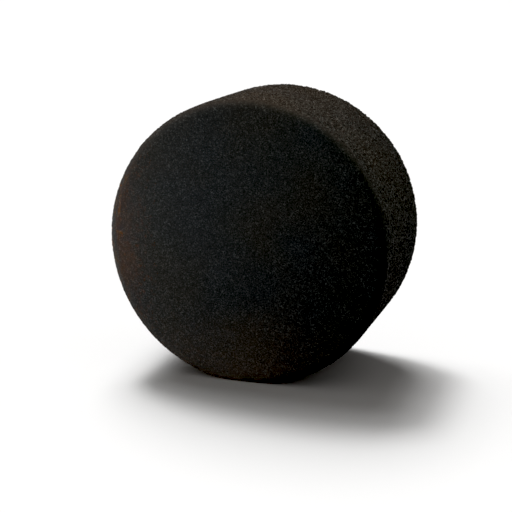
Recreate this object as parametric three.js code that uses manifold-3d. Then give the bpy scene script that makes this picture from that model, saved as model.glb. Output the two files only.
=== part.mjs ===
// A foam polishing pad, standing on its rim like a wheel.
//
// The pad is a laminate stacked along Y. From the back (+Y) to the front (-Y) it is a loop pile, the ground cloth
// that the loops are knitted into, a film of adhesive, and a thick disc of open-cell foam. The origin is the centre
// of the loop face, the plane that meets a polisher's hook plate. +Z is up, and the pad's own weight has flattened
// the foam into a narrow foot where it stands. Units are millimetres.

import * as THREE from "three";
import { mergeVertices } from "three/addons/utils/BufferGeometryUtils.js";
import Module from "manifold-3d";

const wasm = await Module();
wasm.setup();

// Driving dimensions, in millimetres.
const PAD_DIAMETER = 100;
const FOAM_THICKNESS = 50;
const FACE_EDGE_RADIUS = 3; // the working edge is buffed round, so that it doesn't mark the paint
const BACK_EDGE_RADIUS = 0.5; // the die leaves the back edge almost sharp
const FOOT_DEPTH = 1.2; // how far the rim is pressed flat where the pad stands
const FLOOR_CLEARANCE = 0.8; // the cloth is cut smaller than the foam, so that it clears the floor by this
const FILM_THICKNESS = 0.4;
const GROUND_THICKNESS = 0.6;
const PILE_HEIGHT = 1.4;

// Sizes that follow from them.
const padRadius = PAD_DIAMETER / 2;
const footHeight = padRadius - FOOT_DEPTH;
const clothRadius = footHeight - FLOOR_CLEARANCE;

// How finely round things are faceted.
const AROUND = 96;
const EDGE_STEPS = 6;

function material(color, roughness) {
  return new THREE.MeshStandardMaterial({ color, roughness, metalness: 0 });
}

// Adds a quarter circle about (centreX, centreY) to a profile, turning from one angle to the other.
function addArc(profile, centreX, centreY, radius, fromAngle, toAngle) {
  for (let step = 0; step <= EDGE_STEPS; step += 1) {
    const angle = fromAngle + ((toAngle - fromAngle) * step) / EDGE_STEPS;
    const x = centreX + radius * Math.cos(angle);
    const y = centreY + radius * Math.sin(angle);
    profile.push(new THREE.Vector2(x, y));
  }
}

// A disc about the Y axis with its back on y = 0 and its front at y = -thickness, both edges square.
function plainDisc(radius, thickness) {
  const profile = [
    new THREE.Vector2(0, -thickness),
    new THREE.Vector2(radius, -thickness),
    new THREE.Vector2(radius, 0),
    new THREE.Vector2(0, 0),
  ];
  return new THREE.LatheGeometry(profile, AROUND);
}

// The foam disc before it is stood on its rim: the front edge is well rounded, the back edge only just.
function foamDisc() {
  const profile = [new THREE.Vector2(0, -FOAM_THICKNESS)];
  const frontX = padRadius - FACE_EDGE_RADIUS;
  const frontY = FACE_EDGE_RADIUS - FOAM_THICKNESS;
  const backX = padRadius - BACK_EDGE_RADIUS;
  addArc(profile, frontX, frontY, FACE_EDGE_RADIUS, -Math.PI / 2, 0);
  addArc(profile, backX, -BACK_EDGE_RADIUS, BACK_EDGE_RADIUS, 0, Math.PI / 2);
  profile.push(new THREE.Vector2(0, 0));
  return new THREE.LatheGeometry(profile, AROUND);
}

// A closed geometry as a solid that can be cut.
function toSolid(geometry) {
  const bare = geometry.clone();
  bare.deleteAttribute("normal");
  bare.deleteAttribute("uv");
  const merged = mergeVertices(bare);
  const mesh = new wasm.Mesh({
    numProp: 3,
    vertProperties: merged.attributes.position.array,
    triVerts: Uint32Array.from(merged.index.array),
  });
  return new wasm.Manifold(mesh);
}

function toGeometry(solid) {
  const mesh = solid.getMesh();
  const geometry = new THREE.BufferGeometry();
  geometry.setAttribute("position", new THREE.BufferAttribute(mesh.vertProperties, 3));
  geometry.setIndex(new THREE.BufferAttribute(mesh.triVerts, 1));
  geometry.computeVertexNormals();
  return geometry;
}

// The foam block: the disc with everything below the level of the foot cut away.
function foamBlock() {
  const margin = padRadius;
  const cut = new THREE.BoxGeometry(PAD_DIAMETER, FOAM_THICKNESS + 2 * margin, margin);
  cut.translate(0, -FOAM_THICKNESS / 2, -footHeight - margin / 2);
  return toGeometry(toSolid(foamDisc()).subtract(toSolid(cut)));
}

const pad = new THREE.Group();
let back = 0; // the plane that the next layer's back lies on, moving forward as the layers are stacked

function addLayer(name, geometry, thickness, look) {
  const layer = new THREE.Mesh(geometry, look);
  layer.name = name;
  layer.position.y = back;
  pad.add(layer);
  back -= thickness;
}

addLayer("loop_pile", plainDisc(clothRadius, PILE_HEIGHT), PILE_HEIGHT, material(0x2b2b2d, 0.95));
addLayer("loop_ground", plainDisc(clothRadius, GROUND_THICKNESS), GROUND_THICKNESS, material(0x202022, 0.9));
addLayer("bond_film", plainDisc(clothRadius, FILM_THICKNESS), FILM_THICKNESS, material(0x34322e, 0.4));
addLayer("foam_body", foamBlock(), FOAM_THICKNESS, material(0x232120, 0.95));

export default pad;
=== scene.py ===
# A thick foam polishing pad with a loop-cloth back, standing on its rim on a pale floor.
#
# The sections follow the pad as it is put together: the foam block, the torn cell ends on its cut wall, the
# adhesive film, the ground cloth and the loop pile, and last the floor and the lights. Everything is in
# metres. +Y is the pad's axis: the working face looks along -Y and the loops stand up along +Y.

import bpy
import numpy as np
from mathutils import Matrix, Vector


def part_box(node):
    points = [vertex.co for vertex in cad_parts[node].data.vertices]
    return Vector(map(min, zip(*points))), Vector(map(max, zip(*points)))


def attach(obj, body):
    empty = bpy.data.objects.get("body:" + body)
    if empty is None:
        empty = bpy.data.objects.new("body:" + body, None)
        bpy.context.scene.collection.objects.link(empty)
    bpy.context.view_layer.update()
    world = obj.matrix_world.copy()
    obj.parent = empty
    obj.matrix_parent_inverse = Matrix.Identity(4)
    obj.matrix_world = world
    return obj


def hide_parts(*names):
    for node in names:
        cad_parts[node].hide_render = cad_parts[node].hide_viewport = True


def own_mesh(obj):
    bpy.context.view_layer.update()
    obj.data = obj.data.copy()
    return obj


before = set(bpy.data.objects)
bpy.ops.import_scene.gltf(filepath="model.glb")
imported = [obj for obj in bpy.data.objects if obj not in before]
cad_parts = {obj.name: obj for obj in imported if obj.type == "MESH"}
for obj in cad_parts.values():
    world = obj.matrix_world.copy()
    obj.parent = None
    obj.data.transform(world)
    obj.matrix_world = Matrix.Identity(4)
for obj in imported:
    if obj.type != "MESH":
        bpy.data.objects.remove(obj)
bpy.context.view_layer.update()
MM = 0.001  # a millimetre, in metres


# ---- Camera ----------------------------------------------------------------------------------------------
# A long lens a little to the right of the pad and above it, level from side to side.

CAMERA_PLACE = (0.1323, -0.4450, 0.0994)
CAMERA_TURN_DEG = 18.044
CAMERA_DIP_DEG = 13.927
CAMERA_LENS_MM = 87.9
CAMERA_SENSOR_MM = 36.0

camera_data = bpy.data.cameras.new("camera")
camera_data.lens = CAMERA_LENS_MM
camera_data.sensor_width = CAMERA_SENSOR_MM
camera_data.clip_start = 0.01
camera = bpy.data.objects.new("camera", camera_data)
camera.location = CAMERA_PLACE
camera.rotation_euler = np.radians((90.0 - CAMERA_DIP_DEG, 0.0, CAMERA_TURN_DEG))
bpy.context.collection.objects.link(camera)
bpy.context.scene.camera = camera


# ---- Foam block ------------------------------------------------------------------------------------------
# One disc of black open-cell polyurethane foam. The face is skived and buffed to a fine, even grain and is
# rounded at the rim. The wall is cut with a die, which tears the cells open and leaves it rougher. The pad's
# weight has pressed the rim flat where it stands.

foam_low, foam_high = (np.array(corner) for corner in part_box("foam_body"))
PAD_RADIUS = foam_high[0]
FACE_Y = foam_low[1]
FOAM_BACK_Y = foam_high[1]
FLOOR_Z = foam_low[2]
FACE_EDGE_REACH = 3.8 * MM  # how far the rounding reaches over the face and down the wall
FACE_EDGE_POWER = 2.6
BACK_EDGE_RADIUS = 0.5 * MM
BACK_EDGE_POINTS = 4
BACK_RING_RADIUS = 47.0 * MM  # how far in the open back is finely meshed, to just under the cloth
COVERED_RADIUS = 48.3 * MM  # out to here the cloth and its film cover the back, which stays plain
BACK_FACING = 0.9  # a normal whose part along +Y is over this belongs to the back
PRESS_SOFTNESS = 0.12 * MM  # how softly the pressed rim leaves the floor
MESH_PITCH = 0.25 * MM
FACE_CELLS_ACROSS = 314

OPEN_CELL = 0.85 * MM  # the widest open cells
FINE_CELL = 0.42 * MM  # the usual cell, 60 per inch
BUFFED_CELL = 0.30 * MM  # what buffing leaves of a cell at the face
CELL_BALL = 0.62  # a cell's radius, as a share of its size
SKIN_TURN = 1.3  # all of the skin that faces within 40 degrees of -Y is buffed, where 1.3 cos 40 is 1

# Each pair is the measure on the buffed face and on the torn wall.
OPEN_PIT_DEPTH = (0.03 * MM, 0.32 * MM)
FINE_PIT_DEPTH = (0.03 * MM, 0.13 * MM)
STRUT_RISE = (0.01 * MM, 0.12 * MM)
SKIN_LIFT = (0.20 * MM, 0.28 * MM)  # puts back what the pits take, so the foam keeps the block's size

STRUT_RISE_WIDTH = 0.5 * MM
CUT_WAVES = ((0.12 * MM, 13.0 * MM, 31), (0.05 * MM, 5.0 * MM, 37))  # height, width and seed

BUFFED_PAINTED_SHADE_TONES = ("111111", "161616", "1d1d1d")  # painted shade in the middle of a cell, lighter towards its struts as if lit
BUFFED_SPECKS_AND_GLINTS = (0.77, 0.93, 1.12, 2.3)  # per cell: most differ at random, and the few brightest are painted glints
# Painted shade and light on the torn wall: deeper shade in the cells' middles and lighter struts.
TORN_PAINTED_SHADE_TONES = ("070707", "131313", "252525")
# Per torn cell: most differ at random, and the few brightest are painted glints.
TORN_SPECKS_AND_GLINTS = (0.48, 0.83, 1.35, 3.1)
SHADE_TONE_PLACES = (0.2, 0.5, 0.8)
SPECK_AND_GLINT_PLACES = (0.0, 0.55, 0.85, 0.98)
DYE_CLOUD = 28.0 * MM
GRIT = 0.3 * MM  # the roughness of the struts themselves, drawn coarse enough to show

MIX_SHARE, MIX_FIRST, MIX_SECOND, MIX_RESULT = 0, 6, 7, 2  # a Mix node's colour sockets, by number


def lattice_numbers(cell, seed):
    """Three numbers from 0 to 1 for each whole-numbered lattice cell.

    The three coordinates are multiplied by large primes and added, and the sum is mixed by shifts and
    products.
    """
    primes = np.array([73856093, 19349663, 83492791], dtype=np.uint32)
    key = (cell.astype(np.uint32) * primes).sum(axis=1, dtype=np.uint32) + np.uint32(seed * 7919)
    mixed = key[:, None] + np.array([374761393, 668265263, 2246822519], dtype=np.uint32)
    mixed ^= mixed >> np.uint32(15)
    mixed *= np.uint32(2246822519)
    mixed ^= mixed >> np.uint32(13)
    mixed *= np.uint32(3266489917)
    mixed ^= mixed >> np.uint32(16)
    return (mixed & np.uint32(0xFFFFFF)) / float(0x1000000)


def cell_distance(points, cell, seed):
    """Distance from each point to the nearest cell centre, in cells.

    Space is a lattice of cubes of the given size with one centre at a random place in each, and the nearest
    centre is looked for in the point's own cube and the 26 around it.
    """
    place = points / cell
    home = np.floor(place).astype(np.int64)
    nearest = np.full(len(points), np.inf)
    for step in np.ndindex(3, 3, 3):
        cube = home + np.array(step) - 1
        gap = place - cube - lattice_numbers(cube, seed)
        np.minimum(nearest, (gap * gap).sum(axis=1), out=nearest)
    return np.sqrt(nearest)


def soft_noise(points, size, seed):
    """Smooth noise from -1 to 1 with bumps of the given size.

    Each lattice corner has a random number, and a point takes a blend of its eight corners' numbers, with the
    cubic weight 3t^2 - 2t^3 along each axis.
    """
    place = points / size
    home = np.floor(place).astype(np.int64)
    along = place - home
    weight = along * along * (3.0 - 2.0 * along)
    total = np.zeros(len(points))
    for step in np.ndindex(2, 2, 2):
        side = np.array(step)
        share = np.where(side, weight, 1.0 - weight).prod(axis=1)
        total += share * lattice_numbers(home + side, seed)[:, 0]
    return 2.0 * total - 1.0


def mesh_object(name, vertices, quads, triangles=()):
    """An object whose mesh has the given corners, four-sided faces and, if any, three-sided faces."""
    fours = np.asarray(quads, dtype=np.int32).reshape(-1, 4)
    threes = np.asarray(triangles, dtype=np.int32).reshape(-1, 3)
    mesh = bpy.data.meshes.new(name)
    mesh.vertices.add(len(vertices))
    mesh.vertices.foreach_set("co", np.asarray(vertices, dtype=np.float32).ravel())
    mesh.loops.add(fours.size + threes.size)
    mesh.loops.foreach_set("vertex_index", np.concatenate([fours.ravel(), threes.ravel()]))
    mesh.polygons.add(len(fours) + len(threes))
    starts = np.concatenate([np.arange(len(fours)) * 4, fours.size + np.arange(len(threes)) * 3])
    mesh.polygons.foreach_set("loop_start", starts.astype(np.int32))
    mesh.update(calc_edges=True)
    mesh.validate()
    mesh.polygons.foreach_set("use_smooth", np.ones(len(mesh.polygons), dtype=bool))
    thing = bpy.data.objects.new(name, mesh)
    bpy.context.collection.objects.link(thing)
    return thing


def disc_grid(across):
    """A square grid of corners from -1 to 1 bent into a unit disc, and the indices of its rim in order.

    A corner on the square ring of half-side s goes to the circle of radius s, and its angle runs evenly along
    the ring's four sides, so the grid stays even and its rim is a ring of 4 times `across` equal steps.
    """
    line = np.linspace(-1.0, 1.0, across + 1)
    a, b = np.meshgrid(line, line, indexing="ij")
    radius = np.maximum(abs(a), abs(b))
    safe = np.where(radius > 0.0, radius, 1.0)
    wide = abs(a) >= abs(b)
    turn = np.where(wide, b / safe, 2.0 - a / safe) * np.pi / 4.0
    flip = np.where(wide, a < 0.0, b < 0.0)
    turn = np.where(wide & flip, np.pi - b / safe * np.pi / 4.0, turn)
    turn = np.where(~wide & flip, 1.5 * np.pi + a / safe * np.pi / 4.0, turn)
    disc = np.stack([radius * np.cos(turn), radius * np.sin(turn)], axis=-1).reshape(-1, 2)
    index = np.arange((across + 1) ** 2).reshape(across + 1, across + 1)
    sides = [index[:-1, :-1], index[1:, :-1], index[1:, 1:], index[:-1, 1:]]
    quads = np.stack(sides, axis=2).reshape(-1, 4)
    rim = np.concatenate([index[-1, :-1], index[:0:-1, -1], index[0, :0:-1], index[:-1, 0]])
    return disc, quads, rim


def foam_profile():
    """Points down the foam's outline from the face's rim to the back: radius, y and the normal's two parts.

    The working edge is a quarter of the curve x^n + y^n = 1, which leaves the face more gently than a circle
    does and cuts the same off the corner. Then come a straight wall, a small quarter circle at the back edge
    and a straight run inwards over the back, all in steps of the mesh pitch.
    """
    front_steps = int(np.ceil(FACE_EDGE_REACH * np.pi / 2.0 / MESH_PITCH))
    front = np.linspace(0.0, np.pi / 2.0, front_steps + 1)
    across = np.sin(front) ** (2.0 / FACE_EDGE_POWER)
    along = np.maximum(np.cos(front), 0.0) ** (2.0 / FACE_EDGE_POWER)
    front_r = PAD_RADIUS - FACE_EDGE_REACH * (1.0 - across)
    front_y = FACE_Y + FACE_EDGE_REACH * (1.0 - along)
    front_out = across ** (FACE_EDGE_POWER - 1.0)
    front_rear = -(along ** (FACE_EDGE_POWER - 1.0))
    front_length = np.hypot(front_out, front_rear)
    wall_end = FOAM_BACK_Y - BACK_EDGE_RADIUS
    wall_steps = int(np.ceil((wall_end - front_y[-1]) / MESH_PITCH))
    wall_y = np.linspace(front_y[-1], wall_end, wall_steps + 1)[1:-1]
    wall_zeros = np.zeros(len(wall_y))
    back = np.linspace(0.0, np.pi / 2.0, BACK_EDGE_POINTS)
    back_r = PAD_RADIUS - BACK_EDGE_RADIUS * (1.0 - np.cos(back))
    back_y = wall_end + BACK_EDGE_RADIUS * np.sin(back)
    ring_steps = int(np.ceil((back_r[-1] - BACK_RING_RADIUS) / MESH_PITCH))
    ring_r = np.linspace(back_r[-1], BACK_RING_RADIUS, ring_steps + 1)[1:]
    ring_zeros = np.zeros(len(ring_r))
    radius = np.concatenate([front_r, wall_zeros + PAD_RADIUS, back_r, ring_r])
    y = np.concatenate([front_y, wall_y, back_y, ring_zeros + FOAM_BACK_Y])
    out = np.concatenate([front_out / front_length, wall_zeros + 1.0, np.cos(back), ring_zeros])
    rear = np.concatenate([front_rear / front_length, wall_zeros, np.sin(back), ring_zeros + 1.0])
    return radius, y, out, rear


def turned(radius, y, around):
    """A profile turned about the Y axis: for each of its points, one point in each direction around."""
    x, z = radius[:, None] * around[:, 0], radius[:, None] * around[:, 1]
    return np.stack([x, np.tile(y[:, None], len(around)), z], axis=2)


def ring_quads(ring):
    """Four-sided faces between each row of a turned surface's indices and the next, facing outwards."""
    here, there = ring[:-1], ring[1:]
    sides = [here, there, np.roll(there, -1, axis=1), np.roll(here, -1, axis=1)]
    return np.stack(sides, axis=2).reshape(-1, 4)


def foam_surface():
    """The foam's closed surface before the cells are opened: corners, normals, quads and triangles.

    The face is a disc grid, the profile is turned about the axis from the grid's rim, and a flat fan closes
    the back under the cloth.
    """
    disc, face_quads, rim = disc_grid(FACE_CELLS_ACROSS)
    radius, y, out, rear = foam_profile()
    face_radius = radius[0]
    face_sides = [disc[:, 0] * face_radius, np.full(len(disc), FACE_Y), disc[:, 1] * face_radius]
    face = np.stack(face_sides, axis=1)
    face_normal = np.tile([0.0, -1.0, 0.0], (len(face), 1))
    around = disc[rim]
    rows = len(radius) - 1
    wall = turned(radius[1:], y[1:], around)
    wall_normal = turned(out[1:], rear[1:], around)
    ring = np.vstack([rim, len(face) + np.arange(rows * len(rim)).reshape(rows, len(rim))])
    centre = len(face) + rows * len(rim)
    last = ring[-1]
    fan = np.stack([np.roll(last, -1), last, np.full(len(last), centre)], axis=1)
    corners = np.vstack([face, wall.reshape(-1, 3), [[0.0, FOAM_BACK_Y, 0.0]]])
    normals = np.vstack([face_normal, wall_normal.reshape(-1, 3), [[0.0, 1.0, 0.0]]])
    return corners, normals, np.vstack([face_quads, ring_quads(ring)]), fan


def press_on_floor(corners):
    """The corners with the rim pressed flat.

    A height h over the floor becomes k ln(1 + exp(h / k)), which is never under 0 and, away from the floor,
    is h again.
    """
    pressed = corners.copy()
    height = (corners[:, 2] - FLOOR_Z) / PRESS_SOFTNESS
    pressed[:, 2] = FLOOR_Z + PRESS_SOFTNESS * np.logaddexp(0.0, height)
    return pressed


def torn_share(normals):
    """How torn the skin is, from 0 on the buffed face to 1 on the cut wall and the back, by how it faces."""
    return np.clip(1.0 + normals[:, 1] * SKIN_TURN, 0.0, 1.0)


def skin_measure(torn, pair):
    """A measure that goes evenly from its value on the buffed face to its value on the torn wall."""
    return pair[0] + (pair[1] - pair[0]) * torn


def cut_cell(corners, cell, seed):
    """How deep a corner lies in the cell that is cut open there, from 0 at the cell's edge to 1.

    A cell is a ball about its centre, so this is a circle's height sqrt(1 - d^2) at the distance d, in radii.
    """
    return np.sqrt(np.clip(1.0 - (cell_distance(corners, cell, seed) / CELL_BALL) ** 2, 0.0, 1.0))


def opened_cells(corners, normals):
    """The corners moved in where a cell is cut open and a little out where a strut stands proud.

    The wall's pits are deeper than the face's, and the wall and the open back also wander in slow waves.
    """
    torn = torn_share(normals)
    pits = skin_measure(torn, OPEN_PIT_DEPTH) * cut_cell(corners, OPEN_CELL, seed=3)
    pits += skin_measure(torn, FINE_PIT_DEPTH) * cut_cell(corners, FINE_CELL, seed=11)
    proud = skin_measure(torn, STRUT_RISE) * soft_noise(corners, STRUT_RISE_WIDTH, seed=23)
    waves = torn * sum(height * soft_noise(corners, width, seed) for height, width, seed in CUT_WAVES)
    shift = proud - pits + skin_measure(torn, SKIN_LIFT) + waves
    covered = np.hypot(corners[:, 0], corners[:, 2]) < COVERED_RADIUS
    shift[covered & (normals[:, 1] > BACK_FACING)] = 0.0
    return corners + normals * shift[:, None]


def mark_torn(thing, share):
    """The share is kept on the mesh's corners under the name that the foam's material reads."""
    kept = thing.data.attributes.new("torn", "FLOAT", "POINT")
    kept.data.foreach_set("value", np.asarray(share, dtype=np.float32))


def linear_colour(hex_code):
    """An sRGB hex colour as linear red, green, blue and alpha."""
    value = np.array([int(hex_code[i : i + 2], 16) for i in (0, 2, 4)]) / 255.0
    linear = np.where(value <= 0.04045, value / 12.92, ((value + 0.055) / 1.055) ** 2.4)
    return (*linear.tolist(), 1.0)


def grey(value):
    """A grey that multiplies a colour by a value."""
    return (value, value, value, 1.0)


def new_material(name):
    """An empty node material and its output node."""
    material = bpy.data.materials.new(name)
    material.use_nodes = True
    material.node_tree.nodes.clear()
    return material, material.node_tree.nodes.new("ShaderNodeOutputMaterial")


def add(material, kind, settings=None, inputs=None, stops=()):
    """A new node of a kind, with its settings and with each input set to a value or linked from a socket.

    The stops are a colour ramp's, in order, each a place and a colour.
    """
    node = material.node_tree.nodes.new(kind)
    for key, value in (settings or {}).items():
        setattr(node, key, value)
    for key, value in (inputs or {}).items():
        if isinstance(value, bpy.types.NodeSocket):
            material.node_tree.links.new(value, node.inputs[key])
        else:
            node.inputs[key].default_value = value
    for number, (place, colour) in enumerate(stops):
        points = node.color_ramp.elements
        point = points[number] if number < len(points) else points.new(place)
        point.position = place
        point.color = colour
    return node


def painted_cell_shading(material, place, cell, shade_tones, specks_and_glints):
    """The greys of the cells at the surface, with painted light and shade: dark in a cell's middle as shade,
    lighter towards its struts as if lit, times a number per cell that differs at random and makes a few
    glint.
    """
    cells = add(
        material,
        "ShaderNodeTexVoronoi",
        {"feature": "F1"},
        {"Vector": place, "Scale": 1.0 / cell},
    )
    # Painted shade: dark in a cell's middle, lighter towards its struts as if lit.
    painted_pore_shade = add(
        material,
        "ShaderNodeValToRGB",
        inputs={"Fac": cells.outputs["Distance"]},
        stops=[(at, linear_colour(code)) for at, code in zip(SHADE_TONE_PLACES, shade_tones)],
    )
    chance = add(material, "ShaderNodeSeparateColor", inputs={"Color": cells.outputs["Color"]})
    # Painted glints: a few cells are made much brighter; the rest differ at random.
    speck_and_glint = add(
        material,
        "ShaderNodeValToRGB",
        inputs={"Fac": chance.outputs["Red"]},
        stops=[(at, grey(value)) for at, value in zip(SPECK_AND_GLINT_PLACES, specks_and_glints)],
    )
    product = add(
        material,
        "ShaderNodeMix",
        {"data_type": "RGBA", "blend_type": "MULTIPLY"},
        {MIX_SHARE: 1.0, MIX_FIRST: painted_pore_shade.outputs["Color"], MIX_SECOND: speck_and_glint.outputs["Color"]},
    )
    return product.outputs[MIX_RESULT], cells


def open_cell_foam(name, torn_painted_shade_tones):
    """Open-cell polyurethane foam, dyed black in the mix and cut with a blade.

    Its colour holds painted light and shade: each cell's middle is painted dark as shade in its hollow and
    its struts lighter as if lit, and a few cells are painted much brighter as glints, the rest differing at
    random.
    So the surface is a dark speckle with no shine: even and fine where it is buffed, coarse where it is torn,
    where the wide open cells are painted darker still. The dye takes a little warmer or cooler in wide
    clouds.
    """
    material, output = new_material(name)
    place = add(material, "ShaderNodeTexCoord").outputs["Object"]
    buffed, _ = painted_cell_shading(material, place, BUFFED_CELL, BUFFED_PAINTED_SHADE_TONES, BUFFED_SPECKS_AND_GLINTS)
    torn, cells = painted_cell_shading(material, place, FINE_CELL, torn_painted_shade_tones, TORN_SPECKS_AND_GLINTS)
    wide = add(
        material,
        "ShaderNodeTexVoronoi",
        {"feature": "F1"},
        {"Vector": place, "Scale": 1.0 / OPEN_CELL},
    )
    # Painted shade: the middles of the wide open cells are darkened, as shade inside the pits.
    painted_mouth_shade = add(
        material,
        "ShaderNodeValToRGB",
        inputs={"Fac": wide.outputs["Distance"]},
        stops=[(0.2, grey(0.5)), (0.6, grey(1.2))],
    )
    torn_with_mouth_shade = add(
        material,
        "ShaderNodeMix",
        {"data_type": "RGBA", "blend_type": "MULTIPLY"},
        {MIX_SHARE: 1.0, MIX_FIRST: torn, MIX_SECOND: painted_mouth_shade.outputs["Color"]},
    )
    share = add(material, "ShaderNodeAttribute", {"attribute_name": "torn"})
    speckled = add(
        material,
        "ShaderNodeMix",
        {"data_type": "RGBA", "blend_type": "MIX"},
        {
            MIX_SHARE: share.outputs["Fac"],
            MIX_FIRST: buffed,
            MIX_SECOND: torn_with_mouth_shade.outputs[MIX_RESULT],
        },
    )
    dye = add(
        material,
        "ShaderNodeTexNoise",
        inputs={"Vector": place, "Scale": 1.0 / DYE_CLOUD, "Detail": 2.0},
    )
    tint = add(
        material,
        "ShaderNodeValToRGB",
        inputs={"Fac": dye.outputs["Fac"]},
        stops=[(0.35, (0.95, 0.98, 1.03, 1.0)), (0.5, grey(1.0)), (0.65, (1.04, 1.0, 0.96, 1.0))],
    )
    dyed = add(
        material,
        "ShaderNodeMix",
        {"data_type": "RGBA", "blend_type": "MULTIPLY"},
        {
            MIX_SHARE: 1.0,
            MIX_FIRST: speckled.outputs[MIX_RESULT],
            MIX_SECOND: tint.outputs["Color"],
        },
    )
    grit = add(
        material,
        "ShaderNodeTexNoise",
        inputs={"Vector": place, "Scale": 1.0 / GRIT, "Detail": 2.0},
    )
    rough = add(
        material,
        "ShaderNodeMapRange",
        inputs={"Value": grit.outputs["Fac"], "To Min": 0.8, "To Max": 1.0},
    )
    fine_bump = add(
        material,
        "ShaderNodeBump",
        inputs={"Strength": 0.5, "Distance": 0.05 * MM, "Height": grit.outputs["Fac"]},
    )
    coarse = add(
        material,
        "ShaderNodeMapRange",
        inputs={"Value": share.outputs["Fac"], "To Min": 0.3, "To Max": 0.6},
    )
    cell_bump = add(
        material,
        "ShaderNodeBump",
        inputs={
            "Strength": coarse.outputs["Result"],
            "Distance": 0.1 * MM,
            "Height": cells.outputs["Distance"],
            "Normal": fine_bump.outputs["Normal"],
        },
    )
    shader = add(
        material,
        "ShaderNodeBsdfPrincipled",
        inputs={
            "Base Color": dyed.outputs[MIX_RESULT],
            "Roughness": rough.outputs["Result"],
            "Normal": cell_bump.outputs["Normal"],
            "Specular IOR Level": 0.08,
        },
    )
    material.node_tree.links.new(shader.outputs["BSDF"], output.inputs["Surface"])
    return material


corners, normals, quads, fan = foam_surface()
corners = press_on_floor(opened_cells(corners, normals))
corners[:, 1] = np.minimum(corners[:, 1], FOAM_BACK_Y)
foam = mesh_object("foam_block", corners, quads, fan)
mark_torn(foam, torn_share(normals))
foam.data.materials.append(open_cell_foam("black open-cell polyurethane foam", TORN_PAINTED_SHADE_TONES))
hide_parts("foam_body")
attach(foam, "foam")
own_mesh(foam)


# ---- Torn cell ends --------------------------------------------------------------------------------------
# The die tears the cells it passes through, and short ends of their struts stand up all over the wall. They
# are part of the same foam, and they are what makes the wall's outline look soft.

STRUT_ENDS = 9000
STRUT_SIDES = 3
STRUT_RADIUS = 0.035 * MM
STRUT_TAPER = (1.3, 1.2, 0.9, 0.35)  # of that radius, from the root to the tip
STRUT_ROOT_DEPTH = 0.6  # of the strut's height
STRUT_HEIGHT = (0.18 * MM, 0.42 * MM)  # the shortest and the longest
STRUT_LEAN = (0.2, 1.1)  # how far over the tip leans, of the strut's height
STRUT_JITTER = 0.1 * MM  # along the wall, to either side of a row of the mesh
STRUT_START = 0.8  # how far down the rounded edge the torn wall starts, of the edge's reach
# Lighter than the wall's greys: painted highlight on the strut ends, with the same painted shade in their
# cells.
STRUT_PAINTED_LIGHT_TONES = ("0f0f0f", "1e1e1e", "363636")


def tube_bundle(paths, radii, sides):
    """Closed tubes along many paths at once: their corners, quads and triangles.

    paths holds one row of points per tube, and radii one radius per point of a tube, the same for every tube.
    Each ring is a regular polygon square to the path, turned from a skew direction that is the same for all,
    and a fan closes each end.
    """
    count, rings, _ = paths.shape
    along = np.gradient(paths, axis=1)
    along /= np.linalg.norm(along, axis=2, keepdims=True)
    skew = np.array([0.31, 0.83, 0.46])
    first = np.cross(along, skew)
    first /= np.linalg.norm(first, axis=2, keepdims=True)
    second = np.cross(along, first)
    turn = np.arange(sides) * 2.0 * np.pi / sides
    spoke = first[:, :, None] * np.cos(turn)[:, None] + second[:, :, None] * np.sin(turn)[:, None]
    corners = (paths[:, :, None] + radii[:, None, None] * spoke).reshape(-1, 3)
    index = np.arange(count * rings * sides).reshape(count, rings, sides)
    here, there = index[:, :-1], index[:, 1:]
    quads = np.stack([here, np.roll(here, -1, axis=2), np.roll(there, -1, axis=2), there], axis=3)
    start, end = index[:, 0], index[:, -1]
    fans = [np.stack([start[:, 0], start[:, k + 1], start[:, k]], axis=1) for k in range(1, sides - 1)]
    fans += [np.stack([end[:, 0], end[:, k], end[:, k + 1]], axis=1) for k in range(1, sides - 1)]
    return corners, quads.reshape(-1, 4), np.vstack(fans)


def strut_end_paths(count):
    """Bent lines that start just under the foam's skin and end in the air, as rows of four points.

    Each starts at a random place on the wall, sets out along the skin's normal and leans over to one side by
    a share that grows with the square of the way along.
    """
    random = np.random.default_rng(41)
    radius, y, out, rear = foam_profile()
    wall_start = FACE_Y + STRUT_START * FACE_EDGE_REACH
    on_wall = np.flatnonzero((y > wall_start) & (y < FOAM_BACK_Y - BACK_EDGE_RADIUS))
    row = on_wall[random.integers(0, len(on_wall), count)]
    turn = random.uniform(0.0, 2.0 * np.pi, count)
    round_x, round_z = np.cos(turn), np.sin(turn)
    normal = np.stack([out[row] * round_x, rear[row], out[row] * round_z], axis=1)
    root_y = y[row] + random.uniform(-STRUT_JITTER, STRUT_JITTER, count)
    root = np.stack([radius[row] * round_x, root_y, radius[row] * round_z], axis=1)
    lean = np.cross(normal, random.normal(size=(count, 3)))
    lean /= np.linalg.norm(lean, axis=1, keepdims=True)
    height = random.uniform(*STRUT_HEIGHT, count)[:, None, None]
    way = np.linspace(-STRUT_ROOT_DEPTH, 1.0, len(STRUT_TAPER))[None, :, None]
    bent = np.maximum(way, 0.0) ** 2 * random.uniform(*STRUT_LEAN, count)[:, None, None]
    return root[:, None] + height * (normal[:, None] * way + lean[:, None] * bent)


strut_radii = STRUT_RADIUS * np.array(STRUT_TAPER)
strut_paths = strut_end_paths(STRUT_ENDS)
strut_corners, strut_quads, strut_fans = tube_bundle(strut_paths, strut_radii, STRUT_SIDES)
strut_ends = mesh_object("torn_cell_ends", press_on_floor(strut_corners), strut_quads, strut_fans)
mark_torn(strut_ends, np.ones(len(strut_corners)))
# The strut ends' lighter greys are painted highlight, as if their tips catch the light.
strut_ends.data.materials.append(open_cell_foam("torn polyurethane foam struts with painted highlights", STRUT_PAINTED_LIGHT_TONES))
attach(strut_ends, "foam")
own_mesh(strut_ends)


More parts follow.
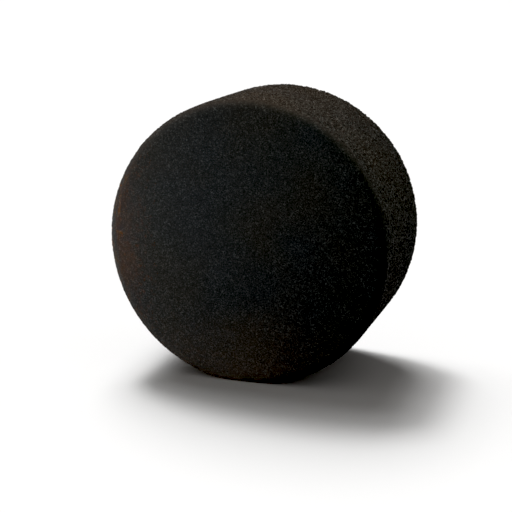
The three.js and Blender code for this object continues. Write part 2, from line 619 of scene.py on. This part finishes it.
# ---- Bond film -------------------------------------------------------------------------------------------
# A hot-melt adhesive film, laid between foam and cloth and pressed hot. It has soaked into the open cells,
# and a thin uneven bead of it has squeezed out and set round the cloth's edge.

film_low, film_high = (np.array(corner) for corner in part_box("bond_film"))
FILM_AROUND = 900
FILM_BEAD_POINTS = 9
FILM_EDGE = 2.0 * MM  # how far in from the rim the bead's skin starts
SQUEEZE_OUT = 0.55 * MM
SQUEEZE_WAVES = ((0.35 * MM, 0.11, 5), (0.20 * MM, 0.035, 6))  # height, width over the radius, and seed
FILM_RIPPLE = 1.6 * MM
FILM_BUBBLE = 0.7 * MM


def film_surface():
    """The film's closed surface: flat front and back, and a rounded bead at the rim.

    The outline is a run of points turned about the Y axis. Its radius grows by an uneven squeeze-out that
    wanders with the angle, full at the bead and none at the flat middle.
    """
    middle = (film_low[1] + film_high[1]) / 2.0
    half = (film_high[1] - film_low[1]) / 2.0
    bead = np.linspace(-np.pi / 2.0, np.pi / 2.0, FILM_BEAD_POINTS)
    rim = film_high[0]
    radius = np.concatenate([[rim - FILM_EDGE], rim - half + half * np.cos(bead), [rim - FILM_EDGE]])
    y = np.concatenate([[film_low[1]], middle + half * np.sin(bead), [film_high[1]]])
    grown = np.concatenate([[0.0], np.ones(len(bead)), [0.0]])
    turn = np.arange(FILM_AROUND) * 2.0 * np.pi / FILM_AROUND
    around = np.stack([np.cos(turn), np.sin(turn)], axis=1)
    ring = np.stack([around[:, 0], np.zeros(FILM_AROUND), around[:, 1]], axis=1)
    waves = sum(height * soft_noise(ring, width, seed) for height, width, seed in SQUEEZE_WAVES)
    skin = turned(radius, y, around) + (grown[:, None] * (SQUEEZE_OUT + waves))[:, :, None] * ring
    index = np.arange(len(radius) * FILM_AROUND).reshape(len(radius), FILM_AROUND)
    first, last = index[0], index[-1]
    front = np.full(FILM_AROUND, index.size)
    back = front + 1
    front_fan = np.stack([first, np.roll(first, -1), front], axis=1)
    back_fan = np.stack([np.roll(last, -1), last, back], axis=1)
    corners = np.vstack([skin.reshape(-1, 3), [[0.0, film_low[1], 0.0]], [[0.0, film_high[1], 0.0]]])
    return corners, ring_quads(index), np.vstack([front_fan, back_fan])


def hot_melt(name):
    """Hot-melt adhesive, pressed hot and set: a dark amber skin with a waxy gloss, ripples and bubbles."""
    material, output = new_material(name)
    place = add(material, "ShaderNodeTexCoord").outputs["Object"]
    ripple = add(
        material,
        "ShaderNodeTexNoise",
        inputs={"Vector": place, "Scale": 1.0 / FILM_RIPPLE, "Detail": 3.0},
    )
    bubble = add(
        material,
        "ShaderNodeTexVoronoi",
        {"feature": "F1"},
        {"Vector": place, "Scale": 1.0 / FILM_BUBBLE},
    )
    tone = add(
        material,
        "ShaderNodeValToRGB",
        inputs={"Fac": ripple.outputs["Fac"]},
        stops=[(0.3, linear_colour("1d1a15")), (0.7, linear_colour("3d372c"))],
    )
    shine = add(
        material,
        "ShaderNodeMapRange",
        inputs={"Value": ripple.outputs["Fac"], "To Min": 0.25, "To Max": 0.5},
    )
    bubble_bump = add(
        material,
        "ShaderNodeBump",
        inputs={"Strength": 0.4, "Distance": 0.1 * MM, "Height": bubble.outputs["Distance"]},
    )
    ripple_bump = add(
        material,
        "ShaderNodeBump",
        inputs={
            "Strength": 0.5,
            "Distance": 0.2 * MM,
            "Height": ripple.outputs["Fac"],
            "Normal": bubble_bump.outputs["Normal"],
        },
    )
    shader = add(
        material,
        "ShaderNodeBsdfPrincipled",
        inputs={
            "Base Color": tone.outputs["Color"],
            "Roughness": shine.outputs["Result"],
            "Normal": ripple_bump.outputs["Normal"],
            "Subsurface Weight": 0.1,
            "Subsurface Scale": 0.5 * MM,
        },
    )
    material.node_tree.links.new(shader.outputs["BSDF"], output.inputs["Surface"])
    return material


film_corners, film_quads, film_fans = film_surface()
film = mesh_object("bond_film_bead", film_corners, film_quads, film_fans)
film.data.materials.append(hot_melt("set hot-melt adhesive"))
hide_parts("bond_film")
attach(film, "backing")


# ---- Ground cloth ----------------------------------------------------------------------------------------
# The ground of the loop fabric: a tight warp knit of black polyamide, laid on the hot film. The upright wales
# stand up as ribs, and the cut edge shows the sheared ends of its threads.

ground_low, ground_high = (np.array(corner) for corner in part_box("loop_ground"))
GROUND_RADIUS = ground_high[0]
WALE_PITCH = 1.15 * MM  # from one upright row of stitches to the next
COURSE_PITCH = 1.2 * MM  # from one stitch to the next along a row
RIB_DEPTH = 0.1 * MM
RIB_SINK = 0.02 * MM  # how far the ribs' tops lie under the cloth's full thickness
GROUND_CELLS_ACROSS = 240
EDGE_THREADS = 620
EDGE_THREAD_SIDES = 5
EDGE_THREAD_RADII = (0.11 * MM, 0.12 * MM, 0.07 * MM)  # from the root to the cut end
EDGE_THREAD_ROOT = 0.4 * MM  # how far inside the cloth a thread end starts
EDGE_THREAD_LENGTH = (0.45 * MM, 0.75 * MM)  # the shortest and the longest
EDGE_THREAD_RISE = 0.15 * MM  # to either side of the cloth's middle
EDGE_THREAD_SHIFT = 0.3  # to either side of its even place, of the step between two
EDGE_THREAD_LEAN = 0.25
FILAMENT = 0.12 * MM  # a real filament is a quarter of this, and is drawn coarser so that it shows
DYE_BATCH = 3.0 * MM


def ground_surface():
    """The ground cloth's closed surface: a ribbed back over a flat front.

    The back is a disc grid, sunk between the wales and at each stitch by the product of a cosine across and a
    cosine along, and a straight wall joins it to a flat fan at the front.
    """
    disc, quads, rim = disc_grid(GROUND_CELLS_ACROSS)
    x, z = disc[:, 0] * GROUND_RADIUS, disc[:, 1] * GROUND_RADIUS
    rib = 0.5 + 0.5 * np.cos(2.0 * np.pi * x / WALE_PITCH)
    stitch = 0.5 + 0.5 * np.cos(2.0 * np.pi * z / COURSE_PITCH + np.pi * np.round(x / WALE_PITCH))
    back = np.stack([x, ground_high[1] - RIB_SINK - RIB_DEPTH * (1.0 - rib * stitch), z], axis=1)
    front_rim = back[rim].copy()
    front_rim[:, 1] = ground_low[1]
    front = len(back) + np.arange(len(rim))
    wall = ring_quads(np.stack([front, rim]))
    centre = len(back) + len(rim)
    fan = np.stack([front, np.roll(front, -1), np.full(len(front), centre)], axis=1)
    corners = np.vstack([back, front_rim, [[0.0, ground_low[1], 0.0]]])
    return corners, np.vstack([quads[:, ::-1], wall]), fan


def edge_thread_paths(count):
    """Short straight thread ends round the cloth's cut edge, as rows of three points.

    They stand at even angles with a little jitter, start inside the cloth and point outwards, each leaning a
    little its own way.
    """
    random = np.random.default_rng(59)
    shift = random.uniform(-EDGE_THREAD_SHIFT, EDGE_THREAD_SHIFT, count)
    turn = (np.arange(count) + shift) * 2.0 * np.pi / count
    outward = np.stack([np.cos(turn), np.zeros(count), np.sin(turn)], axis=1)
    middle = (ground_low[1] + ground_high[1]) / 2.0
    root = outward * (GROUND_RADIUS - EDGE_THREAD_ROOT)
    root[:, 1] = middle + random.uniform(-EDGE_THREAD_RISE, EDGE_THREAD_RISE, count)
    lean = random.normal(scale=EDGE_THREAD_LEAN, size=(count, 3))
    reach = random.uniform(*EDGE_THREAD_LENGTH, count)[:, None, None]
    way = np.linspace(0.0, 1.0, len(EDGE_THREAD_RADII))[None, :, None]
    return root[:, None] + reach * (outward + lean)[:, None] * way


def knitted_thread(name, dark, light, sheen):
    """Black polyamide thread of many fine filaments, knitted and dyed.

    The filaments give each thread a soft sheen at its edges and a fine streaky roughness, and the dye varies
    a little from thread to thread.
    """
    material, output = new_material(name)
    place = add(material, "ShaderNodeTexCoord").outputs["Object"]
    filament = add(
        material,
        "ShaderNodeTexNoise",
        inputs={"Vector": place, "Scale": 1.0 / FILAMENT, "Detail": 3.0},
    )
    batch = add(
        material,
        "ShaderNodeTexNoise",
        inputs={"Vector": place, "Scale": 1.0 / DYE_BATCH, "Detail": 2.0},
    )
    blend = add(
        material,
        "ShaderNodeMath",
        {"operation": "MULTIPLY"},
        {0: filament.outputs["Fac"], 1: batch.outputs["Fac"]},
    )
    tone = add(
        material,
        "ShaderNodeValToRGB",
        inputs={"Fac": blend.outputs["Value"]},
        stops=[(0.12, linear_colour(dark)), (0.42, linear_colour(light))],
    )
    rough = add(
        material,
        "ShaderNodeMapRange",
        inputs={"Value": filament.outputs["Fac"], "To Min": 0.5, "To Max": 0.85},
    )
    bump = add(
        material,
        "ShaderNodeBump",
        inputs={"Strength": 0.5, "Distance": 0.05 * MM, "Height": filament.outputs["Fac"]},
    )
    shader = add(
        material,
        "ShaderNodeBsdfPrincipled",
        inputs={
            "Base Color": tone.outputs["Color"],
            "Roughness": rough.outputs["Result"],
            "Normal": bump.outputs["Normal"],
            "Sheen Weight": sheen,
            "Sheen Roughness": 0.35,
        },
    )
    material.node_tree.links.new(shader.outputs["BSDF"], output.inputs["Surface"])
    return material


ground_corners, ground_quads, ground_fan = ground_surface()
ground = mesh_object("ground_cloth", ground_corners, ground_quads, ground_fan)
ground_material = knitted_thread("black warp-knit polyamide ground", dark="0b0b0c", light="242427", sheen=0.1)
ground.data.materials.append(ground_material)
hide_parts("loop_ground")
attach(ground, "backing")

edge_radii = np.array(EDGE_THREAD_RADII)
edge_paths = edge_thread_paths(EDGE_THREADS)
edge_corners, edge_quads, edge_fans = tube_bundle(edge_paths, edge_radii, EDGE_THREAD_SIDES)
edge_threads = mesh_object("cut_edge_threads", edge_corners, edge_quads, edge_fans)
edge_threads.data.materials.append(ground_material)
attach(edge_threads, "backing")


# ---- Loop pile -------------------------------------------------------------------------------------------
# Thread loops stand in rows along the wales, one to a stitch. They are raised with wire brushes, which leans
# and twists each one its own way and draws out single filaments, and they are what a machine's hooks catch.

pile_low, pile_high = (np.array(corner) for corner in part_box("loop_pile"))
PILE_HEIGHT = pile_high[1] - pile_low[1]
PILE_SIDES = 3
LOOP_MARGIN = 0.7 * MM  # how far inside the cloth's edge the outer loops stand
LOOP_RADIUS = 0.12 * MM  # of the thread
LOOP_TAPER = (1.0, 0.95, 1.1, 1.2, 1.1, 0.95, 1.0)  # of that radius, fuller at the top
LOOP_HALF_WIDTH = (0.42 * MM, 0.62 * MM)  # the narrowest and the widest
LOOP_HEIGHT = (0.72, 0.93)  # the lowest and the highest, of the pile's height
LOOP_FOOT_DIP = 0.12  # how far the loop's angle runs on under the ground at each foot
# The loops' turn has a middle and a spread. The lean, bow and jitter are spreads about none.
LOOP_TURN = (0.5, 0.65)
LOOP_LEAN = 0.22
LOOP_BOW = 0.12 * MM
LOOP_JITTER = 0.08 * MM

FLUFF_COUNT = 6000
FLUFF_MARGIN = 0.8 * MM
FLUFF_RADIUS = 0.03 * MM  # thicker than a real filament, so that it shows
FLUFF_TAPER = (0.5, 1.0, 1.0, 1.0, 1.0, 0.5)  # of that radius
FLUFF_LENGTH = (0.9 * MM, 2.4 * MM)  # the shortest and the longest
FLUFF_CURL = 1.4
FLUFF_LOW = 0.25  # how high a filament's ends lie, of the pile's height
FLUFF_ARCH = 0.6  # how much higher the tallest arc rises, of the pile's height
FLUFF_ARCH_SHARE = (0.3, 1.0)  # the lowest and the tallest arc, of that rise


def stitch_places():
    """Where each loop stands: the stitches of every wale, every second wale moved half a stitch along."""
    reach = GROUND_RADIUS - LOOP_MARGIN
    wales = np.arange(-int(reach / WALE_PITCH), int(reach / WALE_PITCH) + 1)
    courses = np.arange(-int(reach / COURSE_PITCH) - 1, int(reach / COURSE_PITCH) + 2)
    wale, course = np.meshgrid(wales, courses, indexing="ij")
    x = wale * WALE_PITCH
    z = (course + 0.5 * (wale % 2)) * COURSE_PITCH
    inside = np.hypot(x, z) < reach
    return x[inside], z[inside]


def loop_paths(x, z):
    """Raised loops as rows of seven points: each goes up from the ground, over and back down beside itself.

    Along the way t from 0 to pi the loop is w cos t wide and h sin t high, so it is half an ellipse, and it
    is turned by its own angle, leant over by its own amount and bowed sideways a little at the top.
    """
    random = np.random.default_rng(73)
    count = len(x)
    t = np.linspace(-LOOP_FOOT_DIP, np.pi + LOOP_FOOT_DIP, len(LOOP_TAPER))[None, :]
    width = random.uniform(*LOOP_HALF_WIDTH, count)[:, None]
    height = PILE_HEIGHT * random.uniform(*LOOP_HEIGHT, count)[:, None]
    turn = random.normal(*LOOP_TURN, size=count)[:, None]
    lean = random.normal(scale=LOOP_LEAN, size=(2, count, 1))
    bow = random.normal(scale=LOOP_BOW, size=count)[:, None] * np.sin(2.0 * t)
    across = width * np.cos(t)
    up = height * np.sin(t)
    jitter = random.normal(scale=LOOP_JITTER, size=(2, count, 1))
    loop_x = x[:, None] + jitter[0] + across * np.cos(turn) - bow * np.sin(turn) + up * lean[0]
    loop_z = z[:, None] + jitter[1] + across * np.sin(turn) + bow * np.cos(turn) + up * lean[1]
    return np.stack([loop_x, pile_low[1] + up, loop_z], axis=2)


def fluff_paths(count):
    """Single drawn-out filaments as rows of six points: shallow arcs that wander between the loops.

    Each runs both ways from its middle along a heading that turns evenly, and rises and falls again as the
    sine of the way along.
    """
    random = np.random.default_rng(97)
    radius = np.sqrt(random.uniform(0.0, 1.0, count)) * (GROUND_RADIUS - FLUFF_MARGIN)
    turn = random.uniform(0.0, 2.0 * np.pi, count)
    heading = random.uniform(0.0, 2.0 * np.pi, count)[:, None]
    t = np.linspace(0.0, 1.0, len(FLUFF_TAPER))[None, :]
    length = random.uniform(*FLUFF_LENGTH, count)[:, None]
    curl = random.normal(scale=FLUFF_CURL, size=count)[:, None]
    course = heading + curl * t
    x = (radius * np.cos(turn))[:, None] + length * (t - 0.5) * np.cos(course)
    z = (radius * np.sin(turn))[:, None] + length * (t - 0.5) * np.sin(course)
    arch = FLUFF_ARCH * np.sin(np.pi * t) * random.uniform(*FLUFF_ARCH_SHARE, count)[:, None]
    return np.stack([x, pile_low[1] + PILE_HEIGHT * (FLUFF_LOW + arch), z], axis=2)


loop_radii = LOOP_RADIUS * np.array(LOOP_TAPER)
pile_paths = loop_paths(*stitch_places())
loop_corners, loop_quads, loop_fans = tube_bundle(pile_paths, loop_radii, PILE_SIDES)
loops = mesh_object("thread_loops", loop_corners, loop_quads, loop_fans)
loop_material = knitted_thread("brushed black polyamide loops", dark="151517", light="3e3e42", sheen=0.25)
loops.data.materials.append(loop_material)
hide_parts("loop_pile")
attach(loops, "backing")

fluff_radii = FLUFF_RADIUS * np.array(FLUFF_TAPER)
filament_paths = fluff_paths(FLUFF_COUNT)
fluff_corners, fluff_quads, fluff_fans = tube_bundle(filament_paths, fluff_radii, PILE_SIDES)
fluff = mesh_object("drawn_filaments", fluff_corners, fluff_quads, fluff_fans)
fluff.data.materials.append(loop_material)
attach(fluff, "backing")


# ---- Floor and light -------------------------------------------------------------------------------------
# A white painted board that reaches out of sight. Wide suns from behind the pad on the left throw its shadow
# forwards to the right, and soft boxes round the pad light the foam, so its face stays in shade. Light
# linking keeps the two apart: the suns light the board alone and the boxes the pad alone.

FLOOR_REACH = 6.0
BOX_TARGET = (0.0, -0.03, 0.0)  # in the middle of the foam
SKY_COLOUR = (1.0, 0.97, 0.94, 1.0)
SKY_SEEN = 1.2  # the backdrop's strength to the camera, which makes it white
SKY_LIGHT = 0.20  # its strength as a light
BLACK_LEVEL = 0.0205

floor_corners = [
    (-FLOOR_REACH, -FLOOR_REACH, FLOOR_Z),
    (FLOOR_REACH, -FLOOR_REACH, FLOOR_Z),
    (FLOOR_REACH, FLOOR_REACH, FLOOR_Z),
    (-FLOOR_REACH, FLOOR_REACH, FLOOR_Z),
]
floor = mesh_object("floor", np.array(floor_corners), [[0, 1, 2, 3]])

# Emulsion paint on board: an even, matt white with no mirror image in it.
floor_material, floor_output = new_material("white painted board")
floor_shader = add(
    floor_material,
    "ShaderNodeBsdfPrincipled",
    inputs={"Base Color": linear_colour("ececec"), "Roughness": 0.9, "Specular IOR Level": 0.2},
)
floor_material.node_tree.links.new(floor_shader.outputs["BSDF"], floor_output.inputs["Surface"])
floor.data.materials.append(floor_material)

floor_only = bpy.data.collections.new("floor_only")
floor_only.objects.link(floor)
pad_only = bpy.data.collections.new("pad_only")
for piece in (foam, strut_ends, film, ground, edge_threads, loops, fluff):
    pad_only.objects.link(piece)


def add_light(name, kind, place, target, power, colour):
    """A light at a place, turned to look at a target. A sun's power is its strength."""
    data = bpy.data.lights.new(name, kind)
    data.energy = power
    data.color = colour
    light = bpy.data.objects.new(name, data)
    light.location = place
    away = np.array(place) - np.array(target)
    flat = np.hypot(away[0], away[1])
    light.rotation_euler = (np.arctan2(flat, away[2]), 0.0, np.arctan2(away[0], -away[1]))
    bpy.context.collection.objects.link(light)
    return light


def floor_sun(name, turn_deg, height_deg, strength, width_deg):
    """A soft white sun that lights the board alone, by its turn from +Y towards -X and its height."""
    turn, height = np.radians(turn_deg), np.radians(height_deg)
    place = (-np.sin(turn) * np.cos(height), np.cos(turn) * np.cos(height), np.sin(height))
    sun = add_light(name, "SUN", place, (0.0, 0.0, 0.0), strength, (1.0, 1.0, 1.0))
    sun.data.angle = np.radians(width_deg)
    sun.light_linking.receiver_collection = floor_only


def soft_box(name, place, power, colour, size):
    """A square soft box that looks at the pad and lights the pad alone."""
    box = add_light(name, "AREA", place, BOX_TARGET, power, colour)
    box.data.shape = "SQUARE"
    box.data.size = size
    box.light_linking.receiver_collection = pad_only


def strip_box(name, place, target, power, colour, size, spread_deg):
    """A narrow soft box behind a honeycomb grid, which keeps its light to a spread, for the pad alone."""
    strip = add_light(name, "AREA", place, target, power, colour)
    strip.data.shape = "RECTANGLE"
    strip.data.size, strip.data.size_y = size
    strip.data.spread = np.radians(spread_deg)
    strip.light_linking.receiver_collection = pad_only


floor_sun("key", turn_deg=30.0, height_deg=55.0, strength=1.40, width_deg=25.0)
floor_sun("high_key", turn_deg=30.0, height_deg=70.0, strength=0.70, width_deg=25.0)
floor_sun("side_key", turn_deg=60.0, height_deg=55.0, strength=0.60, width_deg=25.0)
floor_sun("crisp_key", turn_deg=45.0, height_deg=62.0, strength=1.05, width_deg=12.0)

soft_box("face_box", (-0.13, -0.16, 0.04), power=0.38, colour=(0.66, 0.87, 1.0), size=0.08)
soft_box("warm_box", (-0.14, -0.15, -0.02), power=0.30, colour=(1.0, 0.90, 0.80), size=0.06)
soft_box("rim_box", (-0.19, -0.10, -0.04), power=0.76, colour=(1.0, 0.80, 0.62), size=0.08)
soft_box("top_box", (-0.03, -0.03, 0.25), power=1.50, colour=(1.0, 0.77, 0.64), size=0.15)
soft_box("right_box", (0.08, -0.10, 0.20), power=0.54, colour=(0.86, 1.0, 0.86), size=0.12)
soft_box("low_box", (0.25, 0.02, -0.03), power=0.76, colour=(1.0, 0.97, 0.90), size=0.15)
soft_box("back_box", (-0.18, 0.33, 0.0), power=2.2, colour=(0.80, 0.92, 1.0), size=0.20)

# Two warm strips pick out the face's left rim and the edge that it stands on.
strip_box(
    "rim_strip",
    place=(-0.07, -0.30, -0.01),
    target=(-0.0515, -0.025, -0.008),
    power=0.015,
    colour=(1.0, 0.28, 0.04),
    size=(0.014, 0.10),
    spread_deg=8.0,
)
strip_box(
    "foot_strip",
    place=(-0.045, -0.14, -0.038),
    target=(-0.018, -0.025, -0.046),
    power=0.0060,
    colour=(1.0, 0.68, 0.46),
    size=(0.09, 0.008),
    spread_deg=32.0,
)

world = bpy.data.worlds.new("studio")
bpy.context.scene.world = world
world.use_nodes = True
background = world.node_tree.nodes["Background"]
background.inputs["Color"].default_value = SKY_COLOUR
ray = world.node_tree.nodes.new("ShaderNodeLightPath")
backdrop = world.node_tree.nodes.new("ShaderNodeMapRange")
backdrop.inputs["To Min"].default_value = SKY_LIGHT
backdrop.inputs["To Max"].default_value = SKY_SEEN
world.node_tree.links.new(ray.outputs["Is Camera Ray"], backdrop.inputs["Value"])
world.node_tree.links.new(backdrop.outputs["Result"], background.inputs["Strength"])

# The view lets the deepest shade go black and the lit board go white.
view = bpy.context.scene.view_settings
view.view_transform = "Standard"
view.use_curve_mapping = True
view.curve_mapping.black_level = (BLACK_LEVEL, BLACK_LEVEL, BLACK_LEVEL)
view.curve_mapping.update()
